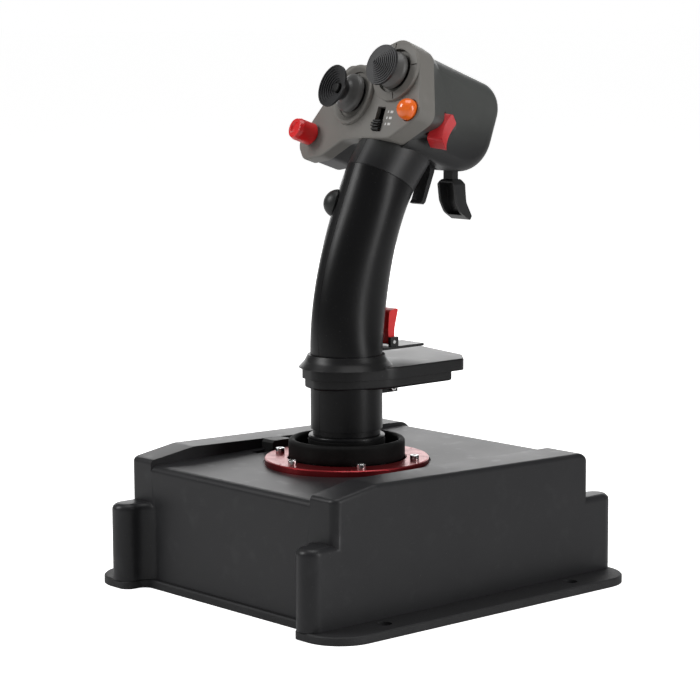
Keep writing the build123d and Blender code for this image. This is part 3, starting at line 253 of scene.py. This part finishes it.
def gloss(name, dark, light, rough, coat):
    """Glossy coloured plastic with faint flow marks and finger marks."""
    paint = Paint(name, coat_weight=coat, coat_roughness=0.06)
    flow = paint.noise(7 * MM, 3.0, (1.0, 1.0, 2.5))
    touched = paint.mask(3.5 * MM, 0.52, 0.72, 4.0)
    colour = paint.mix(flow, dark, light)
    fine = paint.noise(0.6 * MM, 2.0)
    return paint.finish(colour, rough + 0.10 * touched, fine, 0.004 * MM)


def bare_metal(name, dark, light, rough, grain=(1.0, 1.0, 1.0), relief=0.004 * MM):
    """Metal with tool marks, small stains and scratches."""
    paint = Paint(name, metallic=1.0)
    marks = paint.noise(0.5 * MM, 3.0, grain)
    stain = paint.mask(4 * MM, 0.48, 0.80, 5.0)
    colour = paint.mix(stain, light, dark)
    return paint.finish(colour, rough + 0.12 * (marks - 0.5) + 0.12 * stain, marks, relief)


def anodised_ring(centre):
    """Dark red anodised aluminium, turned: fine rings round its own axis."""
    paint = Paint("red_anodised", metallic=0.85, coat_weight=0.25, coat_roughness=0.2)
    wave = 2 * math.pi / (0.35 * MM) * paint.around(centre)
    turns = paint.node("ShaderNodeMath", {"operation": "SINE"}, {0: wave})
    stain = paint.mask(8 * MM, 0.45, 0.75, 5.0)
    colour = paint.mix(stain, (0.33, 0.022, 0.028), (0.24, 0.016, 0.020))
    return paint.finish(colour, 0.33 + 0.03 * turns + 0.10 * stain, turns, 0.003 * MM)


def hat_finish(name, origin, axis, split):
    """Black cap over a grey satin skirt, parted at a height above the face; fine turning marks."""
    paint = Paint(name)
    height = paint.along(origin, axis)
    skirt = height < split
    cloud = paint.noise(6 * MM, 4.0)
    fine = paint.noise(0.4 * MM, 2.0)
    black = paint.mix(cloud, (0.010, 0.010, 0.011), (0.026, 0.026, 0.028))
    grey = paint.mix(cloud, (0.075, 0.075, 0.074), (0.125, 0.123, 0.118))
    rough = 0.30 + 0.10 * cloud + 0.06 * skirt
    return paint.finish(paint.mix(skirt, black, grey), rough, fine, 0.006 * MM, 0.12 * MM)


def circuit_board(name, origin, axis, split):
    """Green solder mask over faint copper runs; what stands higher than the split is black."""
    paint = Paint(name, coat_weight=0.4, coat_roughness=0.2, specular_ior_level=0.3)
    runs = paint.mask(1.6 * MM, 0.49, 0.52, 0.0, (1.0, 0.2, 1.0))
    colour = paint.mix(runs, (0.008, 0.055, 0.022), (0.020, 0.110, 0.045))
    case = paint.along(origin, axis) > split
    colour = paint.mix(case, colour, (0.006, 0.006, 0.006))
    return paint.finish(colour, 0.35 + 0.1 * runs, runs, 0.03 * MM, 0.0)


def ink():
    """White pad-printed marks, slightly rubbed."""
    paint = Paint("white_ink")
    rubbed = paint.mask(0.7 * MM, 0.55, 0.80)
    colour = paint.mix(rubbed, (0.78, 0.78, 0.76), (0.48, 0.48, 0.46))
    return paint.finish(colour, 0.55 + 0.1 * rubbed, rubbed, 0.01 * MM, 0.0)


def make_finishes():
    """Every finish by its own name."""
    ring_low, ring_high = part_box("ring_flange")
    centre = (ring_low + ring_high) / 2
    return {
        "powder_coat": powder_coat(),
        "cover": moulding("cover_moulding", (0.013, 0.013, 0.0145), (0.030, 0.030, 0.032), 0.40),
        "handle": moulding("handle_moulding", (0.004, 0.004, 0.0045), (0.009, 0.009, 0.0095), 0.34,
                           grain=0.4 * MM, relief=0.006 * MM, shine=0.22),
        "head": head_with_painted_shade(),
        "dome": moulding("dome_moulding", (0.020, 0.021, 0.021), (0.036, 0.037, 0.036), 0.38,
                         relief=0.006 * MM),
        "face": moulding("face_moulding", (0.180, 0.172, 0.158), (0.240, 0.230, 0.213), 0.46),
        "palm": moulding("palm_moulding", (0.006, 0.006, 0.0065), (0.012, 0.012, 0.0125), 0.36,
                         grain=0.6 * MM, relief=0.004 * MM),
        "trigger": moulding("trigger_paint", (0.018, 0.018, 0.019), (0.042, 0.042, 0.043), 0.32),
        "latch": moulding("latch_moulding", (0.007, 0.007, 0.007), (0.016, 0.016, 0.016), 0.45),
        "inner": moulding("inner_moulding", (0.030, 0.030, 0.030), (0.060, 0.060, 0.060), 0.50),
        "rubber": rubber(),
        "orange": gloss("orange_gloss", (0.92, 0.135, 0.010), (1.0, 0.19, 0.016), 0.20, 0.5),
        "red": gloss("red_gloss", (0.74, 0.012, 0.014), (0.88, 0.022, 0.024), 0.30, 0.25),
        "red_satin": gloss("red_satin", (0.56, 0.018, 0.024), (0.68, 0.030, 0.036), 0.38, 0.1),
        "red_ring": anodised_ring(centre),
        "steel": bare_metal("bright_steel", (0.42, 0.41, 0.39), (0.72, 0.72, 0.72), 0.20),
        "alloy": bare_metal("machined_alloy", (0.40, 0.40, 0.41), (0.62, 0.63, 0.65), 0.34, (4.0, 1.0, 1.0)),
        "nickel": bare_metal("nickel_plate", (0.50, 0.47, 0.42), (0.70, 0.68, 0.64), 0.18),
        "ink": ink(),
    }


# ---- Pieces ---------------------------------------------------------------------------------------

def body_of(node):
    """The CAD body that a node belongs to."""
    bodies = frame["record"]["behaviour"]["bodies"]
    return next(body for body, members in bodies.items() if node in members)


def shade(mesh, material):
    """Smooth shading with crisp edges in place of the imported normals, and one finish."""
    packed_normals = mesh.attributes.get("custom_normal")
    if packed_normals:
        mesh.attributes.remove(packed_normals)
    mesh.shade_smooth()
    mesh.set_sharp_from_angle(angle=SMOOTH_ANGLE)
    mesh.materials.clear()
    mesh.materials.append(material)


def new_piece(name, bm, material, body):
    """A finished piece from a bmesh that is already in place."""
    mesh = bpy.data.meshes.new(name)
    bm.to_mesh(mesh)
    bm.free()
    shade(mesh, material)
    piece = bpy.data.objects.new(name, mesh)
    bpy.context.scene.collection.objects.link(piece)
    if body:
        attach(piece, body)
    return piece


def finished(node, material):
    """Welded copy of a CAD node with smooth curves; it stands for the node."""
    bm = bmesh.new()
    bm.from_mesh(frame["nodes"][node].data)
    bmesh.ops.remove_doubles(bm, verts=bm.verts, dist=MERGE_DISTANCE)
    piece = new_piece(node + "_finished", bm, material, body_of(node))
    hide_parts(node)
    return piece


def lathe(profile, centre, steps=96):
    """Closed ring: an outline of (radius, height) points spun round an upright axis."""
    bm = bmesh.new()
    loop = [bm.verts.new((centre[0] + r, centre[1], z)) for r, z in profile]
    edges = [bm.edges.new((loop[i - 1], loop[i])) for i in range(len(loop))]
    bmesh.ops.spin(bm, geom=loop + edges, cent=(centre[0], centre[1], 0), axis=(0, 0, 1),
                   angle=2 * math.pi, steps=steps, use_merge=True)
    bmesh.ops.remove_doubles(bm, verts=bm.verts, dist=MERGE_DISTANCE)
    bmesh.ops.recalc_face_normals(bm, faces=bm.faces)
    return bm


def arc(centre, r, start, end, steps):
    """Points on a round stretch of an outline, angles in degrees."""
    turns = [math.radians(start + (end - start) * i / steps) for i in range(steps + 1)]
    return [(centre[0] + r * math.cos(t), centre[1] + r * math.sin(t)) for t in turns]


def add_boot():
    """Rubber boot: a soft wall on the ring, a web with its collar on the stick, an apron under the ring."""
    low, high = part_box("rubber_boot")
    centre = (low + high) / 2
    outer_r = (high.x - low.x) / 2
    wall = 4.0 * MM
    lip_r = wall / 2
    foot_z = low.z + 0.05 * MM
    crest = (outer_r - lip_r, high.z - lip_r)
    inner_r = outer_r - wall
    profile = [(outer_r - 0.5 * MM, foot_z), (outer_r, foot_z + 1.0 * MM)]
    profile += [(outer_r, foot_z + (crest[1] - foot_z) * i / 5) for i in range(2, 5)]
    profile += arc(crest, lip_r, 0, 180, 10)
    profile += [(inner_r, foot_z + (crest[1] - foot_z) * i / 5) for i in range(4, 1, -1)]
    profile += [(inner_r, foot_z + 1.0 * MM), (inner_r, foot_z)]
    bm = lathe(profile, centre)
    boot = new_piece("boot_wall", bm, finishes["rubber"], None)
    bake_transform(boot)
    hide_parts("rubber_boot")

    nut_low, nut_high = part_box("union_nut")
    nut_r = (nut_high.x - nut_low.x) / 2
    web_z = foot_z + 1.0 * MM
    edge_r = 25.5 * MM
    top = nut_high.z - 2.2 * MM
    sleeve_r = nut_r + 0.2 * MM
    profile = [(nut_r - 1.0 * MM, top), (sleeve_r - 0.5 * MM, top), (sleeve_r, top - 0.5 * MM),
               (sleeve_r, nut_low.z + 1.0 * MM), (nut_r + 1.8 * MM, nut_low.z),
               (nut_r + 2.4 * MM, web_z + 1.8 * MM), (edge_r, web_z + 1.2 * MM), (edge_r, web_z),
               (nut_r + 1.0 * MM, web_z), (nut_r - 1.0 * MM, web_z + 1.0 * MM)]
    new_piece("boot_web", lathe(profile, centre), finishes["rubber"], "stick")

    apron_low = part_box("ring_flange")[0].z - 3.9 * MM
    apron_high = apron_low + 0.8 * MM
    hole_r, rim_r = 16 * MM, 38 * MM
    profile = [(hole_r, apron_low), (rim_r, apron_low), (rim_r, apron_high), (hole_r, apron_high)]
    new_piece("boot_apron", lathe(profile, centre), finishes["rubber"], "base")


def face_axes():
    """The face's frame, read from the slide switch's joint: up along the face, and out of it."""
    up = Vector(joint("mode_switch_slide")["axis"])
    out = -Vector(joint("ball_button_press")["axis"])
    return up.cross(out), up, out


def joint(name):
    return next(entry for entry in frame["joints"] if entry["name"] == name)


def add_switch_marks():
    """Plain white strokes beside the slide switch: a row of three for each of its places."""
    lengths = (1.4, 2.6, 0.9)
    start, step = 6.0, 2.1
    tall, thick = 1.5 * MM, 0.06 * MM
    right, up, out = face_axes()
    low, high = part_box("mode_switch_knob")
    knob = (low + high) / 2
    surface = Vector(joint("cone_hat_rock")["pos_m"]) + out * HAT_PIVOT_DEPTH
    travel = joint("mode_switch_slide")["range_m"][1]
    for i in range(3):
        for k, length in enumerate(lengths):
            spot = knob + up * (travel * i / 2 + 0.8 * MM) + right * (start + step * k + length / 2) * MM
            spot -= out * (spot - surface).dot(out)
            turn = Matrix((right, up, out)).transposed().to_4x4()
            size = Matrix.Diagonal((0.62 * length * MM, tall, thick, 1.0))
            bm = bmesh.new()
            place = Matrix.Translation(spot + out * thick / 2)
            bmesh.ops.create_cube(bm, size=1.0, matrix=place @ turn @ size)
            new_piece(f"switch_mark_{i}_{k}", bm, finishes["ink"], "stick")


def dress_nodes():
    """Give every CAD node its finish, on a welded copy."""
    cone = Vector(joint("cone_hat_rock")["pos_m"])
    dish = Vector(joint("dish_hat_rock")["pos_m"])
    out = -Vector(joint("ball_button_press")["axis"])
    lobe_out = -Vector(joint("red_button_press")["axis"])
    board_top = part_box("main_board")[1]
    finishes["board"] = circuit_board("circuit_board", board_top, (0, 0, 1), ALL_GREEN)
    finishes["face_board"] = circuit_board("face_board_finish", cone, out, HAT_PIVOT_DEPTH - BOARD_DEPTH)
    finishes["cone_hat"] = hat_finish("cone_hat_finish", cone, out, HAT_PIVOT_DEPTH + SKIRT_CONE)
    finishes["dish_hat"] = hat_finish("dish_hat_finish", dish, lobe_out, HAT_PIVOT_DEPTH + SKIRT_DISH)
    nodes = {
        "powder_coat": ["base_plate"],
        "cover": ["base_cover"],
        "steel": ["base_screws", "ring_screws", "grip_screws", "board_screws", "palm_rest_screw",
                  "pitch_bearings", "roll_bearings", "pitch_springs", "roll_spring", "stick_tube",
                  "lever_pins", "usb_socket"],
        "alloy": ["gimbal_frame", "pitch_yoke", "roll_block"],
        "nickel": ["pitch_magnet", "roll_magnet"],
        "board": ["main_board", "pitch_sensor_board", "roll_sensor_board", "lobe_board"],
        "face_board": ["face_board"],
        "red_ring": ["ring_flange"],
        "latch": ["release_latch", "mode_switch_knob", "dish_hat_button"],
        "handle": ["handle_right", "handle_left", "union_nut", "grip_adapter"],
        "head": ["head_shell_right", "head_shell_left"],
        "dome": ["thumb_hat_cap"],
        "face": ["face_plate", "cone_hat_bezel", "dish_hat_bezel"],
        "palm": ["palm_rest"],
        "trigger": ["trigger", "fore_lever", "paddle_bracket"],
        "inner": ["neck_sleeve"] + [f"{hat}_hat_{part}" for hat in ("cone", "dish", "thumb")
                                    for part in ("socket", "cross", "stem")],
        "orange": ["ball_button"],
        "red": ["red_button", "red_paddle"],
        "red_satin": ["side_lever"],
        "cone_hat": ["cone_hat_cap"],
        "dish_hat": ["dish_hat_cap"],
    }
    for finish, names in nodes.items():
        for name in names:
            finished(name, finishes[finish])
    frame["nodes"]["rubber_boot"].data.materials.clear()
    frame["nodes"]["rubber_boot"].data.materials.append(finishes["rubber"])


# ---- Room -----------------------------------------------------------------------------------------

def add_camera():
    """Long lens at the pilot's right, a little above the head."""
    bearing, distance, height = math.radians(48.198), 1.4553, 0.342
    yaw, pitch, roll = math.radians(0.279), math.radians(7.779), math.radians(-0.275)
    angle = bearing + yaw
    ahead = Vector((-math.sin(angle) * math.cos(pitch), math.cos(angle) * math.cos(pitch), -math.sin(pitch)))
    right = ahead.cross(Vector((0, 0, 1))).normalized()
    up = right.cross(ahead)
    right, up = math.cos(roll) * right + math.sin(roll) * up, math.cos(roll) * up - math.sin(roll) * right
    camera = bpy.data.objects.new("camera", bpy.data.cameras.new("camera"))
    camera.data.sensor_width = 36.0
    camera.data.lens = 124.3
    camera.data.clip_start = 0.05
    turn = Matrix((right, up, -ahead)).transposed().to_4x4()
    spot = Vector((distance * math.sin(bearing), -distance * math.cos(bearing), height))
    camera.matrix_world = Matrix.Translation(spot) @ turn
    bpy.context.scene.collection.objects.link(camera)
    bpy.context.scene.camera = camera


def add_floor():
    """Pale floor, lit up for the camera alone so that it meets the white world."""
    paint = Paint("pale_floor", specular_ior_level=0.1)
    cloud = paint.noise(0.6, 2.0)
    seen = paint.node("ShaderNodeLightPath", output="Is Camera Ray")
    paint.plug(paint.shader.inputs["Emission Strength"], FLOOR_LIFT * seen)
    colour = paint.mix(cloud, (0.90, 0.90, 0.90), (0.93, 0.93, 0.93))
    material = paint.finish(colour, 0.6 + 0.05 * cloud, cloud, 0.01 * MM, 0.0)
    bm = bmesh.new()
    bmesh.ops.create_grid(bm, x_segments=2, y_segments=2, size=FLOOR_HALF)
    mesh = bpy.data.meshes.new("floor")
    bm.to_mesh(mesh)
    bm.free()
    mesh.materials.append(material)
    floor = bpy.data.objects.new("floor", mesh)
    bpy.context.scene.collection.objects.link(floor)


def add_lamp(name, spot, size, power):
    """Soft rectangular lamp that looks at the middle of the part."""
    data = bpy.data.lights.new(name, "AREA")
    data.shape = "RECTANGLE"
    data.size, data.size_y = size
    data.energy = power
    lamp = bpy.data.objects.new(name, data)
    ahead = (Vector(LAMP_TARGET) - Vector(spot)).normalized()
    lamp.matrix_world = Matrix.Translation(spot) @ ahead.to_track_quat("-Z", "Y").to_matrix().to_4x4()
    lamp.visible_camera = False
    bpy.context.scene.collection.objects.link(lamp)


def add_lights():
    """White world that is bright to the camera and dim to everything else, and four lamps."""
    world = bpy.data.worlds.new("studio")
    world.use_nodes = True
    nodes, links = world.node_tree.nodes, world.node_tree.links
    background = nodes["Background"]
    background.inputs["Color"].default_value = (1, 1, 1, 1)
    strength = nodes.new("ShaderNodeMapRange")
    strength.inputs["To Min"].default_value = SKY_LIGHT
    strength.inputs["To Max"].default_value = 1.0
    links.new(nodes.new("ShaderNodeLightPath").outputs["Is Camera Ray"], strength.inputs["Value"])
    links.new(strength.outputs["Result"], background.inputs["Strength"])
    bpy.context.scene.world = world
    add_lamp("key", (-0.9, -1.3, 1.3), size=(0.6, 0.9), power=17)
    add_lamp("side", (1.7, 0.5, 0.7), size=(0.35, 1.4), power=13)
    add_lamp("top", (0.1, 0.2, 1.9), size=(1.2, 1.2), power=12)
    add_lamp("backdrop", (-1.6, 1.5, 0.55), size=(2.6, 1.0), power=16)


finishes = make_finishes()
dress_nodes()
add_boot()
add_switch_marks()
add_camera()
add_floor()
add_lights()
bpy.context.scene.view_settings.view_transform = "Standard"
